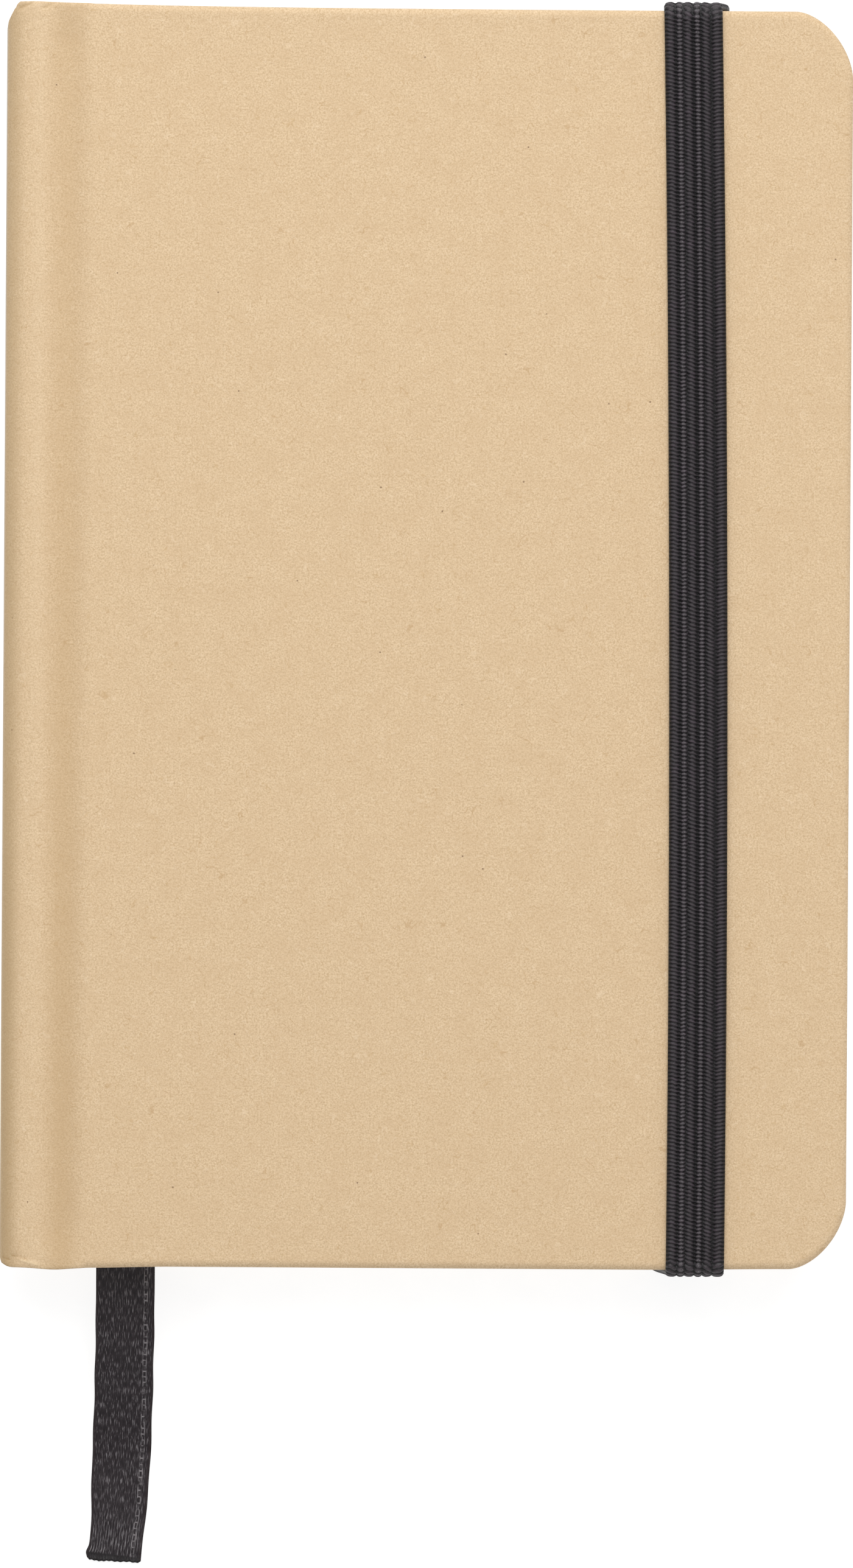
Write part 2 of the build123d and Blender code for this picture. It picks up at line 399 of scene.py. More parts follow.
def kraft_look():
    look = Look("kraft_paper", 0.82, 0.25)
    where = look.surface()
    grain = look.noise(where, 0.20, 3.0, 0.7, 0.4)
    cloud = look.noise(where, 3.0, 3.0, 0.6)
    colour = look.mix(look.ramp(grain, 0.30, 0.66), KRAFT_DARK, KRAFT_PALE)
    colour = look.mix(look.ramp(cloud, 0.35, 0.7, 0.0, 0.40), colour, KRAFT_CLOUD)
    raised = None
    for spread, width, few, seed, strength, tint in HAIRS:
        hair = look.fibres(where, spread, width, few, seed)
        colour = look.mix(look.sum("MULTIPLY", hair, strength), colour, tint)
        raised = hair if raised is None else look.sum("MAXIMUM", raised, hair)
    scale = 1 / (SPECK_SPACING * MM)
    cells = look.node("ShaderNodeTexVoronoi", Vector=where, Scale=scale, Randomness=1.0)
    speck = look.ramp(cells.outputs["Distance"], 0.03, 0.06, 1.0, 0.0)
    picked = look.node("ShaderNodeSeparateColor", Color=cells.outputs["Color"]).outputs["Red"]
    speck = look.sum("MULTIPLY", speck, look.ramp(picked, 0.84, 0.86))
    colour = look.mix(look.sum("MULTIPLY", speck, 0.8), colour, KRAFT_SPECK)
    split = look.node("ShaderNodeSeparateXYZ", Vector=where).outputs
    across = look.sum("ABSOLUTE", split["X"])
    to_tail = look.ramp(split["Y"], LINE_STRENGTH_TAIL * MM, LINE_STRENGTH_HEAD * MM, 1.0, 0.0)
    # painted shade, sheen and highlight along lines of the case, with the groove's pressed tone
    line_x, line_z, _ = outer_line()
    for place, reach, at_head, at_tail, tint in PAINTED_LIGHT_AND_PRESS_LINES:
        where_line = np.interp(place, line_x, along_line(line_x, line_z)) * MM
        away = look.sum("ABSOLUTE", look.sum("SUBTRACT", across, where_line))
        near = look.ramp(away, LINE_CORE * MM, reach * MM, 1.0, 0.0)
        strength = look.sum("MULTIPLY_ADD", to_tail, at_tail - at_head, at_head)
        colour = look.mix(look.sum("MULTIPLY", near, strength), colour, rgb(*tint))
    fold = look.node("ShaderNodeAttribute", {"attribute_name": "fold"}).outputs["Fac"]
    # painted shade in the creases' hollows and a painted highlight on their raised edges
    colour = look.mix(look.ramp(fold, 0.15, 1.0, 0.0, 0.50), colour, CREASE_PAINTED_SHADE)
    colour = look.mix(look.ramp(fold, -0.2, -0.9, 0.0, 0.55), colour, CREASE_PAINTED_HIGHLIGHT)
    look.bump(grain, 0.03)
    look.bump(look.noise(where, 0.7, 2.0), 0.03)
    look.bump(raised, 0.006)
    return look.done(colour)


def paper_look(name, pale, dark, edge_lines=False):
    look = Look(name, 0.9, 0.2)
    where = look.place()
    fine = look.noise(where, 0.3, 3.0, 0.6)
    colour = look.mix(look.ramp(fine, 0.3, 0.7), dark, pale)
    if edge_lines:
        leaves = look.noise(look.place((0.02, 0.02, 1)), 0.11, 1.0)
        colour = look.mix(look.ramp(leaves, 0.4, 0.62, 0.0, 0.10), colour, rgb(0.50, 0.45, 0.36))
        look.bump(leaves, 0.05)
    look.bump(fine, 0.012)
    return look.done(colour)


YARN_DARK = rgb(0.012, 0.007, 0.010)
YARN_PALE = rgb(0.048, 0.037, 0.044)
YARN_WORN = rgb(0.055, 0.034, 0.050)
YARN_PAINTED_HIGHLIGHT = rgb(0.18, 0.165, 0.175)
PAINTED_SHADE_BETWEEN_CORDS = rgb(0.002, 0.0015, 0.002)


def elastic_look():
    look = Look("elastic_black", 0.42, 0.45, Sheen_Weight=0.05, Sheen_Roughness=0.4)
    where = look.surface()
    yarn = look.noise(look.surface((1, 3.5, 1)), 0.16, 2.0, 0.6)
    patch = look.noise(where, 1.4, 2.0)
    colour = look.mix(look.ramp(yarn, 0.3, 0.75), YARN_DARK, YARN_PALE)
    colour = look.mix(look.ramp(patch, 0.5, 0.75, 0.0, 0.5), colour, YARN_WORN)
    # a painted highlight on the crowns of the beads, fullest on the narrow ribs
    painted_highlight = look.node("ShaderNodeAttribute", {"attribute_name": "painted_highlight"}).outputs["Fac"]
    highlight_mask = look.ramp(painted_highlight, 0.72, 1.0)
    bright = look.sum("MULTIPLY", highlight_mask, look.ramp(yarn, 0.40, 0.66, 0.10, 1.0))
    colour = look.mix(look.sum("MULTIPLY", bright, 0.70), colour, YARN_PAINTED_HIGHLIGHT)
    # painted shade in the gaps between the beads, where they stand lowest
    stand = look.node("ShaderNodeAttribute", {"attribute_name": "stand"}).outputs["Fac"]
    colour = look.mix(look.ramp(stand, 0.38, 0.92, 0.96, 0.0), colour, PAINTED_SHADE_BETWEEN_CORDS)
    look.bump(yarn, 0.05)
    return look.done(colour)


RIBBON_LENGTH = 172.6
SATIN_DARK = rgb(0.005, 0.0025, 0.004)
SATIN_PALE = rgb(0.020, 0.014, 0.017)
SATIN_FLOAT_PAINTED_SHEEN = rgb(0.195, 0.180, 0.190)
SATIN_CHAIN = rgb(0.24, 0.22, 0.23)
SATIN_PLEAT_PAINTED_HIGHLIGHT = rgb(0.26, 0.24, 0.25)
SATIN_SINGED = rgb(0.006, 0.004, 0.005)
SATIN_EDGE = rgb(0.014, 0.007, 0.008)
CHAIN_FROM_MIDDLE = 2.35
CHAIN_HALF = 0.19
RAIL_HALF = 0.03
RAIL_FADE = 0.09
RUNG_PITCH = 0.72
RUNG_FADE = 0.25
PLEAT_PITCH = 0.36
# distances back from the cut at which something begins and is full
PLEATS = (6.5, 0.8)
SINGED = (0.9, 0.6)
EDGE_START = 2.90
EDGE_FULL = 3.20


def ribbon_look():
    look = Look("ribbon_satin", 0.42, 0.32, Sheen_Weight=0.04, Sheen_Roughness=0.4)
    split = look.node("ShaderNodeSeparateXYZ", Vector=look.surface()).outputs
    across, along = split["X"], split["Y"]
    floats = look.noise(look.surface((1, 0.085, 1)), 0.085, 2.0, 0.5)
    wide = look.noise(look.surface((1, 0.35, 1)), 0.9, 2.0)
    # the satin's floats, drawn as dashes of painted sheen
    dash = look.ramp(floats, 0.55, 0.66)
    dash = look.sum("MULTIPLY", dash, look.ramp(wide, 0.25, 0.75, 0.45, 1.0))
    colour = look.mix(look.ramp(floats, 0.3, 0.6), SATIN_DARK, SATIN_PALE)
    colour = look.mix(look.sum("MULTIPLY", dash, 0.95), colour, SATIN_FLOAT_PAINTED_SHEEN)
    # the cord-like edge, sewn along with a ladder of small loops
    beside = look.sum("ABSOLUTE", look.sum("ADD", across, CHAIN_FROM_MIDDLE * MM))
    off_rail = look.sum("ABSOLUTE", look.sum("SUBTRACT", beside, CHAIN_HALF * MM))
    rails = look.ramp(off_rail, RAIL_HALF * MM, RAIL_FADE * MM, 0.8, 0.0)
    steps = look.sum("SINE", look.sum("MULTIPLY", along, 2 * math.pi / (RUNG_PITCH * MM)))
    inside = look.ramp(beside, CHAIN_HALF * MM, RUNG_FADE * MM, 1.0, 0.0)
    rungs = look.sum("MULTIPLY", inside, look.ramp(steps, 0.55, 0.9))
    chain = look.sum("MAXIMUM", rails, rungs)
    broken = look.ramp(look.noise(look.surface(), 0.7, 1.0), 0.38, 0.62, 0.05, 0.8)
    colour = look.mix(look.sum("MULTIPLY", chain, broken), colour, SATIN_CHAIN)
    # pleats squeezed up towards the cut, with a painted highlight along each pleat
    pleat = look.sum("SINE", look.sum("MULTIPLY", across, 2 * math.pi / (PLEAT_PITCH * MM)))
    pleat = look.ramp(pleat, 0.45, 0.95)
    begin, full = ((RIBBON_LENGTH - back) * MM for back in PLEATS)
    near_cut = look.ramp(along, begin, full, 0.0, 0.95)
    pleat = look.sum("MULTIPLY", pleat, near_cut)
    pleat = look.sum("MULTIPLY", pleat, look.ramp(floats, 0.35, 0.6))
    colour = look.mix(pleat, colour, SATIN_PLEAT_PAINTED_HIGHLIGHT)
    begin, full = ((RIBBON_LENGTH - back) * MM for back in SINGED)
    colour = look.mix(look.ramp(along, begin, full, 0.0, 0.9), colour, SATIN_SINGED)
    aside = look.sum("ABSOLUTE", across)
    selvedge = look.ramp(aside, EDGE_START * MM, EDGE_FULL * MM, 0.0, 0.75)
    colour = look.mix(selvedge, colour, SATIN_EDGE)
    look.bump(floats, 0.06)
    look.bump(chain, 0.05)
    look.bump(pleat, 0.05)
    return look.done(colour)


def gauze_look():
    look = Look("mull_cloth", 0.9, 0.2)
    where = look.place()
    threads = look.noise(look.place((0.15, 0.15, 1)), 0.35, 1.0)
    cross = look.noise(look.place((1, 1, 0.15)), 0.35, 1.0)
    fine = look.sum("MAXIMUM", threads, cross)
    colour = look.mix(look.ramp(fine, 0.45, 0.65), rgb(0.52, 0.48, 0.40), rgb(0.82, 0.79, 0.72))
    look.bump(fine, 0.12)
    look.bump(look.noise(where, 0.15, 2.0), 0.02)
    return look.done(colour)


def thread_look():
    look = Look("linen_thread", 0.8, 0.3)
    twist = look.noise(look.place((1, 1, 0.3)), 0.12, 2.0)
    colour = look.mix(look.ramp(twist, 0.3, 0.7), rgb(0.62, 0.57, 0.46), rgb(0.88, 0.84, 0.74))
    look.bump(twist, 0.04)
    return look.done(colour)


PAGES = paper_look("page_paper", rgb(0.90, 0.86, 0.76), rgb(0.82, 0.77, 0.66), edge_lines=True)
ENDPAPER = paper_look("endpaper", rgb(0.88, 0.84, 0.75), rgb(0.80, 0.76, 0.66))
ELASTIC = elastic_look()
RIBBON = ribbon_look()
GAUZE = gauze_look()
THREAD = thread_look()

# ---- ribbon ----
RIBBON_WIDTH = 6.7
RIBBON_THICKNESS = 0.30
RIBBON_COLUMNS = 49
HIDDEN_ROWS = 120
SHOWN_ROWS = 140
EDGE_THINNING = 0.85
# distances back from the tip, and how far each change goes there
HIDDEN_END = 36
SHOWN_START = 35.7
WAVE_START = 34
WAVE_FULL = 26
TAPER_START = 12
TAPER = 0.20
TIP_BULGE = 0.30
TIP_BULGE_AT = 0.6
MELTED_START = 0.6
MELTED = 0.12
# from the head of the pages to the cut end: x, y, z
RIBBON_ROUTE = [
    (-40.4, 66.0, 7.975),
    (-39.9, 48.0, 7.975),
    (-37.9, 16.0, 7.975),
    (-35.2, -22.0, 7.975),
    (-33.6, -54.0, 7.975),
    (-33.4, -74.5, 7.975),
    (-33.9, -90.5, 0.21),
    (-34.3, -98.2, 0.21),
    (-35.15, -105.33, 0.21),
]


def spline_points(name, route, resolution):
    """Points read along the smooth NURBS curve of a route, in millimetres."""
    curve = bpy.data.curves.new(name, "CURVE")
    curve.dimensions = "3D"
    spline = curve.splines.new("NURBS")
    spline.points.add(len(route) - 1)
    for point, place in zip(spline.points, route):
        point.co = (*[value * MM for value in place], 1.0)
    spline.order_u = 3
    spline.use_endpoint_u = True
    spline.resolution_u = resolution
    holder = bpy.data.objects.new(name, curve)
    bpy.context.scene.collection.objects.link(holder)
    line = bpy.data.meshes.new_from_object(holder)
    points = np.array([vertex.co[:] for vertex in line.vertices]) / MM
    bpy.data.objects.remove(holder)
    bpy.data.curves.remove(curve)
    bpy.data.meshes.remove(line)
    return points


def cut_line(across):
    """How far back the singed, crooked cut is from the ribbon's tip; across is -1 to 1."""
    teeth = 0.03 * np.sin(across * 9.0 + 0.6) + 0.04 * np.sin(across * 31.0 + 2.0)
    ends = 0.22 * np.exp(-((np.abs(across) - 1) / 0.08) ** 2)
    return 0.07 + 0.33 * (1 - smooth(across, -1.0, 0.8)) + teeth + ends


def ribbon_bulge(across):
    """The ribbon's thickness, as a part of the whole, towards its two edges."""
    return np.sqrt(np.clip(1 - EDGE_THINNING * np.abs(across) ** 6, 0, 1))


def make_ribbon():
    line = spline_points("ribbon_line", RIBBON_ROUTE, 60)
    steps = np.linalg.norm(np.diff(line, axis=0), axis=1)
    along = np.concatenate([[0], np.cumsum(steps)])
    length = along[-1]
    across = np.linspace(-1, 1, RIBBON_COLUMNS)
    hidden = np.linspace(0, length - HIDDEN_END, HIDDEN_ROWS)
    places = np.concatenate([hidden, np.linspace(length - SHOWN_START, length, SHOWN_ROWS)])
    centre = np.stack([np.interp(places, along, line[:, k]) for k in range(3)], axis=1)
    forward = np.gradient(centre, axis=0)
    forward /= np.linalg.norm(forward, axis=1, keepdims=True)
    side = np.cross(forward, (0, 0, 1.0))
    side /= np.linalg.norm(side, axis=1, keepdims=True)
    upward = np.cross(side, forward)
    top = np.zeros((len(places), len(across), 3))
    uv = np.zeros((len(places), len(across), 2))
    free = smooth(places, length - WAVE_START, length - WAVE_FULL)
    melted = MELTED * smooth(places, length - MELTED_START, length)
    for k, a in enumerate(across):
        shortened = places * (length - cut_line(a)) / length
        wave = 0.10 * free * np.sin(places * 0.42 + 1.7 * a)
        taper = TAPER * smooth(places, length - TAPER_START, length) if a > 0 else 0.0
        half = RIBBON_WIDTH / 2 * (0.99 - 0.012 * free * np.sin(places * 0.9 + a) - taper)
        if a > 0:
            from_bulge = (length - places - TIP_BULGE_AT) / TIP_BULGE_AT
            half = half + TIP_BULGE * np.exp(-from_bulge ** 2)
        here = np.stack([np.interp(shortened, places, centre[:, i]) for i in range(3)], axis=1)
        lift = RIBBON_THICKNESS / 2 * ribbon_bulge(a) + melted + np.abs(wave)
        top[:, k] = here + side * (a * half)[:, None] + upward * lift[:, None]
        uv[:, k] = np.stack([np.full(len(places), a * RIBBON_WIDTH / 2), shortened], axis=1)
    bulge = RIBBON_THICKNESS * ribbon_bulge(across)
    bottom = top - upward[:, None, :] * bulge[None, :, None]
    ribbon = shell_mesh("ribbon", top, bottom, RIBBON, uv)
    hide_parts("ribbon_bookmark")
    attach(ribbon, "pages_06")


make_ribbon()

# ---- the case: one sheet of kraft, in two halves that meet along the middle of the spine ----
HINGE_X = SPINE_FACE + 1.0
EDGE_RADIUS = 0.85
INNER_EDGE_RADIUS = 0.45
SKIN = 0.25
CORE_TOP = 13.85
JOINT_SKIN = 0.3
TURN_IN_START = -45.6
TURN_IN_END = -44.2
JOINT_EDGE_RADIUS = 0.5
CRISP = 60  # degrees
# the rounded long edge of the spine, up to the hinge axis: x, z
SPINE_ROUND = [
    (-47.50, 11.60), (-47.49, 12.00), (-47.46, 12.40), (-47.40, 12.80), (-47.31, 13.15),
    (-47.19, 13.46), (-47.03, 13.72), (-46.86, 13.92), (-46.68, 14.08), (-46.50, 14.20),
]
SHOULDER_DROP = 1.0
SHOULDER_REACH = 3.7
SHOULDER_POWER = 2.3
GROOVE_START = -43.9
GROOVE_FLOOR = -40.6
GROOVE_FLOOR_END = -40.3
GROOVE_END = -37.4
GROOVE_DEPTH = 0.75
HEAD_SLOPE = 0.60
HEAD_SLOPE_START = -44.4
HEAD_SLOPE_REACH = 17.0
TAIL_RISE = 0.17
TAIL_RISES = [(-38, -28), (25, 42)]
TAIL_BULGE = 0.22
TAIL_BULGE_AT = -41.2
TAIL_BULGE_REACH = 2.2
CASE_WAVE_HEIGHT = 0.045
CASE_WAVE_LENGTH = 34.0
WRINKLE_HEIGHT = 0.05
WRINKLE_LENGTH = 2.6
FOLD_DEPTH = 0.15
# distances from the head and the tail at which the case has rows of points
EDGE_ROWS = [
    0, 0.04, 0.1, 0.18, 0.28, 0.4, 0.54, 0.7, 0.85, 1.05,
    1.3, 1.6, 1.95, 2.3, 2.7, 3.1, 3.6, 4.2, 5, 6,
]
MIDDLE_ROWS = 92
MIDDLE_ROWS_START = 7.2


def edge_line(x, side):
    """How far the straight head or tail edge of the cover is from the middle, at x."""
    beyond = np.clip(x - HEAD_SLOPE_START, 0, None)
    head_line = HALF_HEIGHT - HEAD_SLOPE * (1 - np.exp(-beyond / HEAD_SLOPE_REACH))
    tail_line = HALF_HEIGHT
    for start, end in TAIL_RISES:
        tail_line = tail_line - TAIL_RISE * smooth(x, start, end)
    tail_line = tail_line + TAIL_BULGE * np.exp(-((x - TAIL_BULGE_AT) / TAIL_BULGE_REACH) ** 2)
    return np.where(side > 0, head_line, tail_line)


def cover_outline(x, side):
    """The same, with the fore-edge corners cut and folded over."""
    u = np.clip((x - FORE_EDGE + CORNER_ACROSS) / CORNER_ACROSS, 0, 1)
    return edge_line(x, side) - CORNER_ALONG * (1 - (1 - u ** CORNER_POWER) ** (1 / CORNER_POWER))


def inset_from_edge(x, y, side):
    """Distance in from the cover's outline."""
    line = edge_line(x, side)
    u = np.clip((x - FORE_EDGE + CORNER_ACROSS) / CORNER_ACROSS, 0, 1)
    v = np.clip((np.abs(y) - line + CORNER_ALONG) / CORNER_ALONG, 0, 1)
    power = CORNER_POWER
    reach = np.maximum((u ** power + v ** power) ** (1 / power), 1e-6)
    slope = np.hypot(u ** (power - 1) / CORNER_ACROSS, v ** (power - 1) / CORNER_ALONG)
    in_corner = (1 - reach) * reach ** (power - 1) / np.maximum(slope, 1e-6)
    straight = np.minimum(FORE_EDGE - x, line - np.abs(y))
    return np.clip(np.where((u > 0) & (v > 0), in_corner, straight), 0, None)


def outer_line():
    """The outer face from the middle of the spine: x, z and how many points the spine has."""
    up = np.linspace(MIDDLE, SPINE_ROUND[0][1], 10)[:-1]
    turn = np.array(SPINE_ROUND)
    shoulder = np.arange(HINGE_X + 0.16, BOARD_START + 2.2, 0.2)
    flat = np.linspace(BOARD_START + 2.6, FORE_EDGE - CORNER_ACROSS, 62)
    bend = 1 - (1 - np.linspace(0, 1, 37)[1:]) ** 2.2
    corner = FORE_EDGE - CORNER_ACROSS * (1 - bend)
    top_x = np.concatenate([shoulder, flat, corner])
    fall = np.clip(1 - (top_x - HINGE_X) / SHOULDER_REACH, 0, 1)
    top_z = FRONT_FACE - SHOULDER_DROP * fall ** SHOULDER_POWER
    line_x = np.concatenate([np.full(len(up), SPINE_FACE), turn[:, 0], top_x])
    line_z = np.concatenate([up, turn[:, 1], top_z])
    return line_x, line_z, len(up) + len(turn)


def along_line(line_x, line_z):
    return np.concatenate([[0], np.cumsum(np.hypot(np.diff(line_x), np.diff(line_z)))])


def row_places():
    start = MIDDLE_ROWS_START
    inside = np.linspace(-HALF_HEIGHT + start, HALF_HEIGHT - start, MIDDLE_ROWS)
    edge = HALF_HEIGHT - np.array(EDGE_ROWS)
    return np.concatenate([-edge, inside, edge[::-1]]) / HALF_HEIGHT


# distances in from the spine's face, and how much shorter the case is there, where it's folded
CORNER_IN = [0.0, 0.18, 0.79, 1.5]
HEAD_CORNER_CUT = [2.6, 1.9, 0.85, 0.0]
TAIL_CORNER_CUT = [0.85, 0.40, 0.10, 0.0]


def spine_corner(x, side):
    head_cut = np.interp(x - SPINE_FACE, CORNER_IN, HEAD_CORNER_CUT)
    return np.where(side > 0, head_cut, np.interp(x - SPINE_FACE, CORNER_IN, TAIL_CORNER_CUT))


CREASES = [
    # start x, y, end x, y, width, depth; first at the head, then at the tail
    (-45.9, 70.35, -44.7, 70.75, 0.22, 0.12),
    (-43.3, 70.3, -42.2, 70.8, 0.26, 0.10),
    (-45.9, 68.55, -42.1, 69.3, 0.13, 0.07),
    (-45.3, 68.2, -44.9, 66.3, 0.11, 0.08),
    (-47.0, -69.9, -46.3, -70.1, 0.16, 0.14),
    (-46.0, -69.7, -45.0, -69.8, 0.10, 0.13),
    (-45.0, -69.8, -44.1, -70.15, 0.10, 0.15),
    (-45.0, -70.1, -43.2, -70.6, 0.20, -0.12),
]


def crease_relief(x, y, creases):
    relief = np.zeros(x.shape)
    for x0, y0, x1, y1, width, depth in creases:
        run = np.array([x1 - x0, y1 - y0])
        t = np.clip(((x - x0) * run[0] + (y - y0) * run[1]) / (run @ run), 0, 1)
        away = np.hypot(x - x0 - t * run[0], y - y0 - t * run[1])
        relief -= depth * np.exp(-(away / width) ** 2)
    return relief


def case_half(seed, creases, way):
    """The half of the case with the front cover: outer and inner grids, surface map and folds."""
    line_x, line_z, bend = outer_line()
    t = row_places()[:, None]
    side = np.broadcast_to(np.sign(t), (len(t), len(line_x)))
    x = np.broadcast_to(line_x, side.shape).copy()
    z = np.broadcast_to(line_z, x.shape).copy()
    y = t * (cover_outline(x, side) - spine_corner(x, side))
    columns = np.broadcast_to(np.arange(len(line_x)) >= bend, x.shape)
    from_end = HALF_HEIGHT * (1 - np.abs(t)) + 0 * x
    inset = np.where(columns, inset_from_edge(x, y, side), from_end)
    sunk = smooth(x, GROOVE_START, GROOVE_FLOOR) * (1 - smooth(x, GROOVE_FLOOR_END, GROOVE_END))
    fade = 0.45 + 0.55 * smooth(from_end, 0.3, 5.0)
    waves = CASE_WAVE_HEIGHT * noise_2d(x, y, CASE_WAVE_LENGTH, seed) * smooth(inset, 0.5, 9)
    near_spine = 1 - smooth(x, -43.5, -38)
    wrinkle = WRINKLE_HEIGHT * noise_2d(x, y, WRINKLE_LENGTH, seed + 1)
    wrinkle = wrinkle * (1 - smooth(from_end, 0.8, 4.5)) * near_spine
    is_board = smooth(x, BOARD_START - 0.6, BOARD_START + 0.4)
    joint_drop = rounded(inset, JOINT_EDGE_RADIUS) * 0.5
    drop = rounded(inset, EDGE_RADIUS) * is_board + joint_drop * (1 - is_board)
    relief = crease_relief(x, y, creases)
    z = np.where(columns, z - GROOVE_DEPTH * sunk * fade + waves + wrinkle + relief - drop, z)

    across = np.gradient(line_x)
    upward = np.gradient(line_z)
    length = np.hypot(across, upward)
    normal_x, normal_z = -upward / length, across / length
    inward = np.where(columns, 0, rounded(inset, JOINT_EDGE_RADIUS) * 0.4)
    x = x - inward * normal_x
    z = z - inward * normal_z
    outer = np.stack([x, y, z], axis=2)

    skin = np.where(columns, 0, SKIN)
    in_x = x - skin * normal_x
    in_z = z - np.where(columns, JOINT_SKIN, skin * normal_z)
    under = INNER_FACE + rounded(inset, INNER_EDGE_RADIUS)
    thicken = smooth(x, TURN_IN_START, TURN_IN_END)
    in_z = np.where(columns, in_z + (under - in_z) * thicken, in_z)
    inner = np.stack([in_x, y, in_z], axis=2)
    uv = np.stack([np.broadcast_to(way * along_line(line_x, line_z), x.shape), y], axis=2)
    return outer, inner, uv, np.clip(-relief / FOLD_DEPTH, -1, 1)


def mirrored(points):
    """The same place on the back cover."""
    return points * (1, 1, -1) + (0, 0, 2 * MIDDLE)


KRAFT = kraft_look()


def make_case():
    outer, inner, uv, folds = case_half(11, CREASES, 1)
    front = shell_mesh("kraft_front", outer, inner, KRAFT, uv, turned=True, crisp=CRISP)
    mark(front, "fold", folds)
    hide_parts("front_wrap", "front_joint", "front_board", "spine_wrap")
    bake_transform(front)

    outer, inner, uv, _ = case_half(23, [], -1)
    back = shell_mesh("kraft_back", mirrored(outer), mirrored(inner), KRAFT, uv, crisp=CRISP)
    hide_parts("back_wrap", "back_joint", "back_board")
    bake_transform(back)


make_case()


CORE_SHORTER = 0.1
CORE_BEHIND = 0.15
CORE_THINNEST = 0.1
CORE_INWARD = 0.14
CORE_MAP_AT = 700


def make_spine_core():
    """The spine board, with the kraft folded in over it at head and tail."""
    reach = CORE_TOP - MIDDLE
    z = MIDDLE + reach * np.sin(np.linspace(-math.pi / 2, math.pi / 2, 49))
    away = MIDDLE + np.abs(z - MIDDLE)
    line_x, line_z, bend = outer_line()
    skin_x = np.interp(away, line_z[:bend], line_x[:bend])
    t = row_places()[:, None]
    skin_x = np.broadcast_to(skin_x, (len(t), len(z)))
    y = t * (HALF_HEIGHT - CORE_SHORTER - spine_corner(skin_x, t))
    inset = (1 - np.abs(t)) * HALF_HEIGHT
    rise = rounded(inset, INNER_EDGE_RADIUS)
    out_x = skin_x + CORE_BEHIND + 0.5 * rise
    in_x = np.maximum(SPINE_HIGH[0] + CORE_INWARD - rise, out_x + CORE_THINNEST)
    grid_z = np.broadcast_to(z, y.shape)
    uv = np.stack([grid_z + CORE_MAP_AT, y], axis=2)
    outer = np.stack([out_x, y, grid_z], axis=2)
    inner = np.stack([in_x, y, grid_z], axis=2)
    core = shell_mesh("spine_turn_in", outer, inner, KRAFT, uv, turned=True, crisp=CRISP)
    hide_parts("spine_board", "spine_lining")
    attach(core, "spine")


make_spine_core()

# ---- pages ----
LEAF = 0.1
LEAF_SHOWN = 0.088
SHEETS = 4
SECTIONS = 10
FOLD_REACH = 0.42


def page_outline(x, fore_edge, half):
    centre = fore_edge - PAGE_CORNER
    u = np.clip((x - centre) / PAGE_CORNER, 0, 1)
    return half - PAGE_CORNER * (1 - np.sqrt(1 - u * u))


def folded_sheet(middle_z, offset, random):
    """Points, faces and map of a sheet folded at the spine, offset from the fold's middle."""
    shift = random.uniform(-0.07, 0.05)
    fore = TEXT_FORE_EDGE + shift
    half = TEXT_HALF + random.uniform(-0.06, 0.0)
    fold_x = TEXT_SPINE + FOLD_REACH
    round_corner = np.sin(np.radians(np.linspace(0, 90, 13)))[::-1]
    corner = fore - PAGE_CORNER + PAGE_CORNER * round_corner
    leaf_x = np.concatenate([corner, np.linspace(fore - PAGE_CORNER, fold_x, 10)[1:]])
    angle = np.radians(np.linspace(90, 270, 11))[1:-1]
    x = np.concatenate([leaf_x, fold_x + offset * np.cos(angle), leaf_x[::-1]])
    z = np.concatenate([
        np.full(len(leaf_x), middle_z + offset), middle_z + offset * np.sin(angle),
        np.full(len(leaf_x), middle_z - offset),
    ])
    normal_x = np.concatenate([np.zeros(len(leaf_x)), np.cos(angle), np.zeros(len(leaf_x))])
    normal_z = np.concatenate([np.ones(len(leaf_x)), np.sin(angle), -np.ones(len(leaf_x))])
    half_y = page_outline(x, fore, half)
    t = np.linspace(-1, 1, 7)[:, None]
    y = t * half_y[None, :]
    grids = []
    for side in (0.5, -0.5):
        gx = x + side * LEAF_SHOWN * normal_x
        gz = z + side * LEAF_SHOWN * normal_z
        grids.append(np.stack([gx + 0 * y, y, gz + 0 * y], axis=2))
    points = np.concatenate([grid.reshape(-1, 3) for grid in grids])
    return points, skin_faces(*y.shape), points[:, :2]


def make_section(number):
    node = f"section_{number:02d}"
    low, high = box_mm(node)
    random = np.random.default_rng(100 + number)
    middle_z = (low[2] + high[2]) / 2
    sheets = [folded_sheet(middle_z, LEAF / 2 + LEAF * k, random) for k in range(SHEETS)]
    section = join_meshes(f"pages_{number:02d}", sheets, PAGES)
    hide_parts(node)
    bodies = {1: "front_cover", SECTIONS: "back_cover"}
    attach(section, bodies.get(number, f"pages_{number:02d}"))


for number in range(1, SECTIONS + 1):
    make_section(number)

# ---- elastic ----
BAND_MIDDLE = (RUN_LOW[0] + RUN_HIGH[0]) / 2
BAND_THICKNESS = RUN_HIGH[2] - RUN_LOW[2]
RIDGE_PITCH = 0.435
ROWS_PER_RIDGE = 5.5
BAND_COLUMNS = 49
RIDGE_DEPTH = 0.46
BEAD_REACH = 0.545
BEAD_POWER = 2.4
BACK_LIFT = 0.06
BAND_CLEARANCE = 0.02
RIBS = [
    # left edge, right edge, slant of the beads, how high they stand, where they start
    (-3.26, -1.92, 0.32, 0.92, 0.0),
    (-2.06, -1.12, 0.0, 1.0, 0.45),
    (-1.26, -0.00, 0.36, 0.92, 0.1),
    (-0.08, 0.86, 0.0, 1.0, 0.6),
    (0.74, 1.98, 0.44, 0.92, 0.2),
    (1.84, 3.26, -0.30, 0.92, 0.7),
]


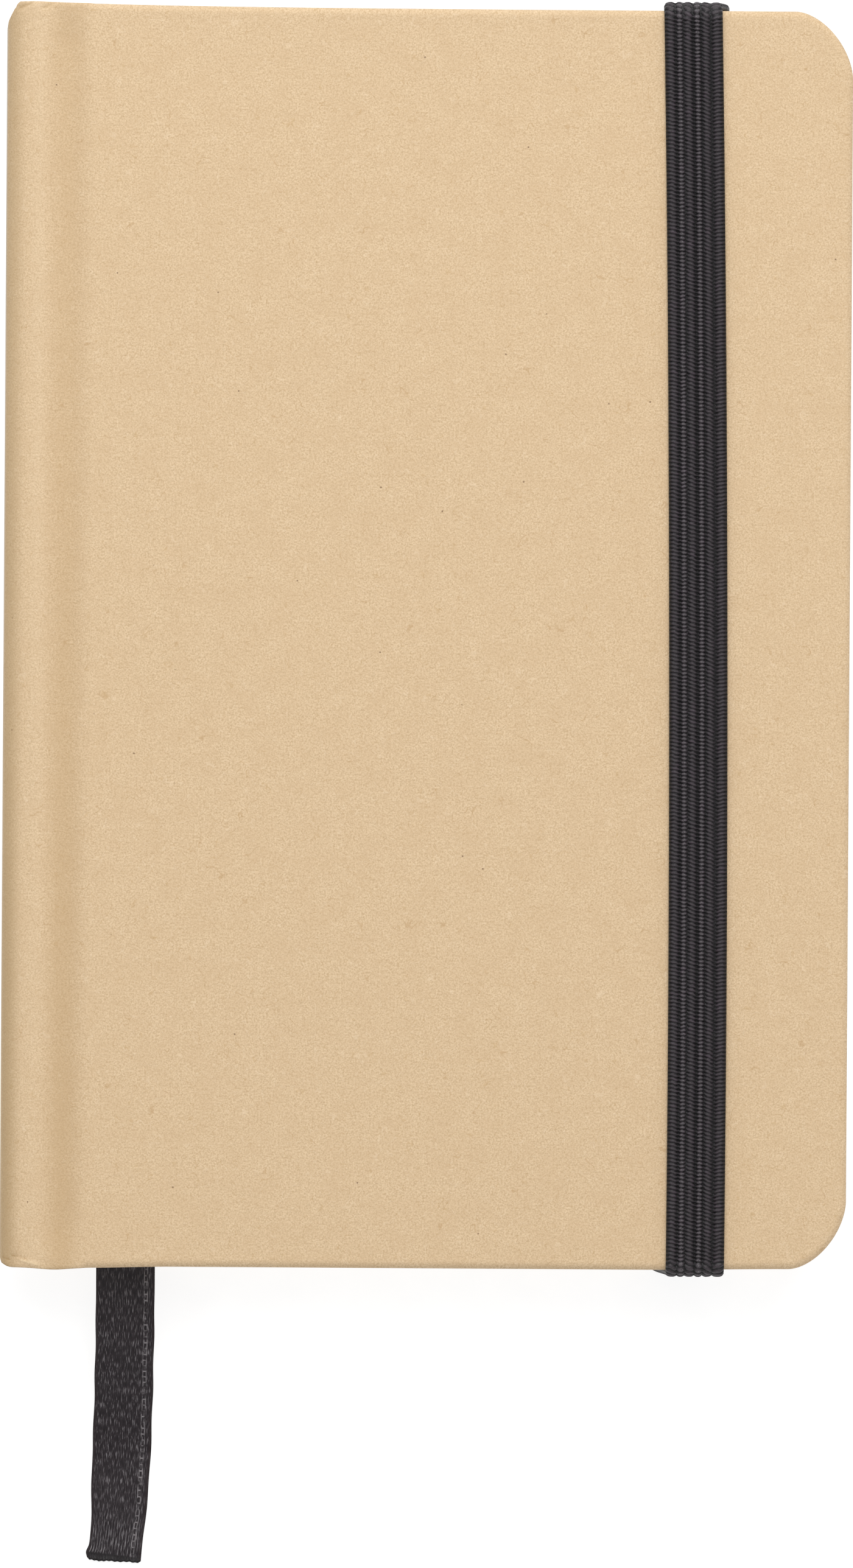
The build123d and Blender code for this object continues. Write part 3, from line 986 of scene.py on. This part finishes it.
def bead_heights(along, across):
    """The relief, 0 to 1, of the twisted cords that cross the band, and where a highlight is
    painted on them.
    """
    relief = np.zeros((len(along), len(across)))
    painted_highlight = np.zeros(relief.shape)
    drift = 0.10 * noise_2d(along[:, None] + 0 * across, across[None, :] * 3, 3.0, 5)
    for left, right, slant, stand, start in RIBS:
        u = (across - (left + right) / 2) / ((right - left) / 2)
        phase = along[:, None] / RIDGE_PITCH + slant * u[None, :] + start + drift
        q = (phase % 1 - 0.5) / BEAD_REACH
        bead = stand * np.sqrt(np.clip(1 - np.abs(u[None, :]) ** BEAD_POWER - q * q, 0, 1))
        painted_highlight = np.where(bead > relief, bead if slant == 0 else 0.86 * bead, painted_highlight)
        relief = np.maximum(relief, bead)
    return relief, painted_highlight


def band_mesh(name, along, frame_of, thickness, turned=False):
    """A closed ribbed strip, with points only along the two sides of its plain back.

    frame_of gives its middle, its sideways and its outward direction.
    """
    across = np.linspace(RIBS[0][0], RIBS[-1][1], BAND_COLUMNS)
    relief, painted_highlight = bead_heights(along, across)
    middle, sideways, outward = frame_of(along)
    scale = np.broadcast_to(thickness, along.shape)[:, None] / BAND_THICKNESS
    top = middle[:, None, :] + across[None, :, None] * sideways[:, None, :]
    rise = (BAND_THICKNESS - RIDGE_DEPTH + RIDGE_DEPTH * relief) * scale
    under = top + outward[:, None, :] * BACK_LIFT
    face = top + outward[:, None, :] * rise[:, :, None]
    uv = np.stack(np.broadcast_arrays(across, along[:, None]), axis=2)

    rows, columns = relief.shape
    count = rows * columns
    back = under[:, [0, -1]]
    faces = grid_faces(rows, columns, 0, turned)
    faces += grid_faces(rows, 2, count, not turned)
    edges = []
    for i in range(rows - 1):
        a, b = i * columns, (i + 1) * columns
        c, d = count + 2 * i, count + 2 * (i + 1)
        edges.append((a, b, d, c))
        edges.append((b + columns - 1, a + columns - 1, c + 1, d + 1))
    last = (rows - 1) * columns
    edges.append((*range(columns - 1, -1, -1), count, count + 1))
    edges.append((*range(last, last + columns), count + 2 * rows - 1, count + 2 * rows - 2))
    faces += [edge[::-1] for edge in edges] if turned else edges
    points = np.concatenate([face.reshape(-1, 3), back.reshape(-1, 3)])
    both = np.concatenate([uv.reshape(-1, 2), uv[:, [0, -1]].reshape(-1, 2)])
    band = make_mesh(name, points, faces, ELASTIC, both)
    mark(band, "stand", relief)
    mark(band, "painted_highlight", painted_highlight)
    return band


def band_line(y):
    """The slightly slanted and bowed line that the elastic takes over the cover."""
    return BAND_MIDDLE - 0.0075 * y - 9.4e-5 * y ** 2


# at the head and at the tail: the cover's edge under the band, the band's thickness there, and
# how far and how deep down the sides it slips sideways
BAND_EDGE = {side: float(edge_line(np.array(BAND_MIDDLE), side)) for side in (1, -1)}
SIDE_THICKNESS = {1: 0.95, -1: 0.76}
SLIP = {1: 0.90, -1: -1.30}
SLIP_DEPTH = {1: 2.4, -1: 12.0}
WRAP_RADIUS = 1.0
WRAP_START = 0.9
WRAP_REACH = 0.95


def wrap_angle(along, side):
    straight = BAND_EDGE[side] - WRAP_START
    return np.clip(side * along - straight, 0, WRAP_RADIUS * math.pi / 2) / WRAP_RADIUS


def run_frame(along):
    """The elastic over the front cover, rounded down over the head and the tail."""
    side = np.where(along > 0, 1, -1)
    angle = np.where(side > 0, wrap_angle(along, 1), wrap_angle(along, -1))
    straight = np.where(side > 0, BAND_EDGE[1], BAND_EDGE[-1]) - WRAP_START
    y = side * (np.minimum(np.abs(along), straight) + WRAP_REACH * WRAP_RADIUS * np.sin(angle))
    z = RUN_LOW[2] - WRAP_RADIUS * (1 - np.cos(angle))
    middle = np.stack([band_line(along), y, z], axis=1)
    outward = np.stack([0 * z, side * np.sin(angle), np.cos(angle)], axis=1)
    sideways = np.stack([1 + 0 * z, 0 * z, 0 * z], axis=1)
    return middle, sideways, outward


def make_front_band():
    low = -(BAND_EDGE[-1] - WRAP_START + WRAP_RADIUS * math.pi / 2)
    high = BAND_EDGE[1] - WRAP_START + WRAP_RADIUS * math.pi / 2
    along = np.arange(low, high, RIDGE_PITCH / ROWS_PER_RIDGE)
    turn = (wrap_angle(along, 1) + wrap_angle(along, -1)) * 2 / math.pi
    at_side = np.where(along > 0, SIDE_THICKNESS[1], SIDE_THICKNESS[-1])
    thickness = BAND_THICKNESS - BAND_CLEARANCE + (at_side - BAND_THICKNESS) * turn
    run = band_mesh("elastic_run", along, run_frame, thickness)
    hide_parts("elastic_front_run")
    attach(run, "elastic_front")


make_front_band()

ARM_TOP = RUN_LOW[2] - WRAP_START
ARM_BOTTOM = ARM_LOW[2]
OFF_EDGE = 0.06


def make_arm(side, end):
    def frame_at(along):
        z = ARM_TOP - along
        x = band_line(side * HALF_HEIGHT) + SLIP[side] * smooth(along, -0.4, SLIP_DEPTH[side])
        y = np.full(len(along), side * (BAND_EDGE[side] + OFF_EDGE))
        middle = np.stack([x, y, z], axis=1)
        outward = np.stack([0 * z, side + 0 * z, 0 * z], axis=1)
        return middle, np.stack([1 + 0 * z, 0 * z, 0 * z], axis=1), outward

    along = np.arange(-0.3, ARM_TOP - ARM_BOTTOM + 0.05, RIDGE_PITCH / ROWS_PER_RIDGE)
    arm = band_mesh(f"elastic_side_{end}", along, frame_at, SIDE_THICKNESS[side], turned=side > 0)
    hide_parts(f"elastic_arm_{end}")
    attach(arm, "elastic_sides")
    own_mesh(arm)


def make_stub(side, end):
    start = STUB_LOW[1] if side > 0 else -STUB_HIGH[1]
    length = BAND_EDGE[side] + SIDE_THICKNESS[side] - start
    foot = band_line(side * HALF_HEIGHT) + SLIP[side]

    def frame_at(along):
        x = BAND_MIDDLE + (foot - BAND_MIDDLE) * along / length
        y = side * (start + along)
        z = np.full(len(along), BAND_THICKNESS - BAND_CLEARANCE)
        middle = np.stack([x, y, z], axis=1)
        outward = np.stack([0 * z, 0 * z, -1 + 0 * z], axis=1)
        return middle, np.stack([1 + 0 * z, 0 * z, 0 * z], axis=1), outward

    along = np.arange(0, length, RIDGE_PITCH / ROWS_PER_RIDGE)
    thickness = BAND_THICKNESS - BAND_CLEARANCE
    stub = band_mesh(f"elastic_back_{end}", along, frame_at, thickness, turned=side > 0)
    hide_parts(f"elastic_stub_{end}")
    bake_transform(stub)


for side, end in ((1, "head"), (-1, "tail")):
    make_arm(side, end)
    make_stub(side, end)


# ---- mull, glued ribbon end and threads ----
MULL_STEP = 0.3
MULL_PITCH = 1.2
THREAD_PLACES = (-40, -20, 0, 20, 40)
THREAD_RADIUS = 0.105
THREAD_RELIEF = 0.015
THREAD_TWIST = 0.9


def slab_grid(x0, x1, y, z, ripple):
    grid_y, grid_z = np.meshgrid(y, z, indexing="ij")
    outer = np.stack([x0 + ripple(grid_y, grid_z), grid_y, grid_z], axis=2)
    inner = np.stack([x1 + 0 * grid_y, grid_y, grid_z], axis=2)
    return outer, inner, np.stack([grid_z, grid_y], axis=2)


def flatten_with_spine(obj):
    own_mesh(obj)


def make_mull():
    low, high = box_mm("mull")
    y = np.arange(low[1], high[1] + 0.01, MULL_STEP)
    z = np.arange(low[2], high[2] + 0.01, MULL_STEP)

    def weave(gy, gz):
        over = np.sin(gy * 2 * math.pi / MULL_PITCH)
        return 0.035 * (1 + over * np.sin(gz * 2 * math.pi / MULL_PITCH))

    outer, inner, uv = slab_grid(low[0], high[0], y, z, weave)
    mull = shell_mesh("mull_strip", outer, inner, GAUZE, uv, turned=True)
    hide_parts("mull")
    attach(mull, "back_cover")
    flatten_with_spine(mull)


def make_tab():
    low, high = box_mm("ribbon_tab")
    y = np.linspace(low[1], high[1], 60)
    z = np.linspace(low[2], high[2], 24)
    outer, inner, uv = slab_grid(low[0], high[0], y, z, lambda gy, gz: 0.02 + 0.02 * np.sin(gz * 9))
    tab = shell_mesh("ribbon_glued_end", outer, inner, RIBBON, uv, turned=True)
    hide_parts("ribbon_tab")
    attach(tab, "back_cover")
    flatten_with_spine(tab)


def make_threads():
    low, high = box_mm("sewing_threads")
    x = (low[0] + high[0]) / 2
    z = np.linspace(low[2], high[2], 90)
    turn = np.linspace(0, 2 * math.pi, 13)
    twist = z[:, None] * 2 * math.pi / THREAD_TWIST
    radius = THREAD_RADIUS + THREAD_RELIEF * np.cos(2 * (turn[None, :] - twist))
    px = x + radius * np.cos(turn)[None, :]
    parts = []
    for y in THREAD_PLACES:
        py = y + radius * np.sin(turn)[None, :]
        grid = np.stack([px, py, np.broadcast_to(z[:, None], px.shape)], axis=2)[:, :-1]
        rows, columns = grid.shape[:2]
        faces = []
        for i in range(rows - 1):
            for k in range(columns):
                n = (k + 1) % columns
                a, b = i * columns, (i + 1) * columns
                faces.append((a + k, a + n, b + n, b + k))
        faces.append(tuple(range(columns))[::-1])
        faces.append(tuple((rows - 1) * columns + k for k in range(columns)))
        points = grid.reshape(-1, 3)
        parts.append((points, faces, points[:, 1:]))
    threads = join_meshes("sewing", parts, THREAD)
    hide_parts("sewing_threads")
    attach(threads, "back_cover")
    flatten_with_spine(threads)


make_mull()
make_tab()
make_threads()

# ---- finishes of the pieces kept from the frame ----
NODE_FINISH = {
    "front_pastedown": ENDPAPER,
    "back_pastedown": ENDPAPER,
    "front_flyleaf": ENDPAPER,
    "back_flyleaf": ENDPAPER,
    "elastic_end_head": ELASTIC,
    "elastic_end_tail": ELASTIC,
}
for name, material in NODE_FINISH.items():
    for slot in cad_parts[name].material_slots:
        slot.material = material


# ---- studio, in metres ----
FLOOR_RINGS = [0.3, 0.8, 2, 5, 12]
FLOOR_GLOW = 0.84
WHITE = rgb(1.0, 1.0, 1.0)
WORLD_STRENGTH = 0.60
LAMPS = [
    # name, place, target, size, watts, colour
    ("key", (0.10, 0.50, 0.95), (0, 0, 0), (0.7, 0.6), 6.6, (1.0, 0.985, 0.97)),
    ("head", (-0.15, 0.62, 0.45), (0, 0.05, 0), (0.6, 0.3), 1.4, (0.90, 0.95, 1.0)),
]


def make_floor():
    points, faces = [(0, 0, 0)], []
    around = 48
    for radius in FLOOR_RINGS:
        for k in range(around):
            a = 2 * math.pi * k / around
            points.append((radius * math.cos(a) / MM, radius * math.sin(a) / MM, 0))
    for k in range(around):
        n = (k + 1) % around
        faces.append((0, 1 + k, 1 + n))
        for r in range(len(FLOOR_RINGS) - 1):
            a, b = 1 + r * around, 1 + (r + 1) * around
            faces.append((a + k, b + k, b + n, a + n))
    look = Look("floor", 0.9, 0.1, Emission_Color=WHITE, Emission_Strength=FLOOR_GLOW)
    fine = look.noise(look.place(), 4.0, 2.0)
    colour = look.mix(look.ramp(fine, 0.3, 0.7), rgb(0.26, 0.26, 0.26), rgb(0.28, 0.28, 0.28))
    floor = make_mesh("floor", points, faces, look.done(colour))


def area_light(name, place, target, size, power, colour):
    data = bpy.data.lights.new(name, "AREA")
    data.shape = "RECTANGLE"
    data.size, data.size_y = size
    data.energy = power
    data.color = colour
    lamp = bpy.data.objects.new(name, data)
    bpy.context.scene.collection.objects.link(lamp)
    lamp.location = place
    aim = Vector(target) - Vector(place)
    lamp.rotation_euler = aim.to_track_quat("-Z", "Y").to_euler()
    lamp.visible_camera = False


def make_studio():
    make_floor()
    world = bpy.data.worlds.new("studio")
    bpy.context.scene.world = world
    world.use_nodes = True
    background = world.node_tree.nodes["Background"]
    background.inputs["Color"].default_value = WHITE
    background.inputs["Strength"].default_value = WORLD_STRENGTH
    for lamp in LAMPS:
        area_light(*lamp)
    bpy.context.scene.view_settings.view_transform = "Standard"
    bpy.context.scene.view_settings.look = "None"


make_studio()
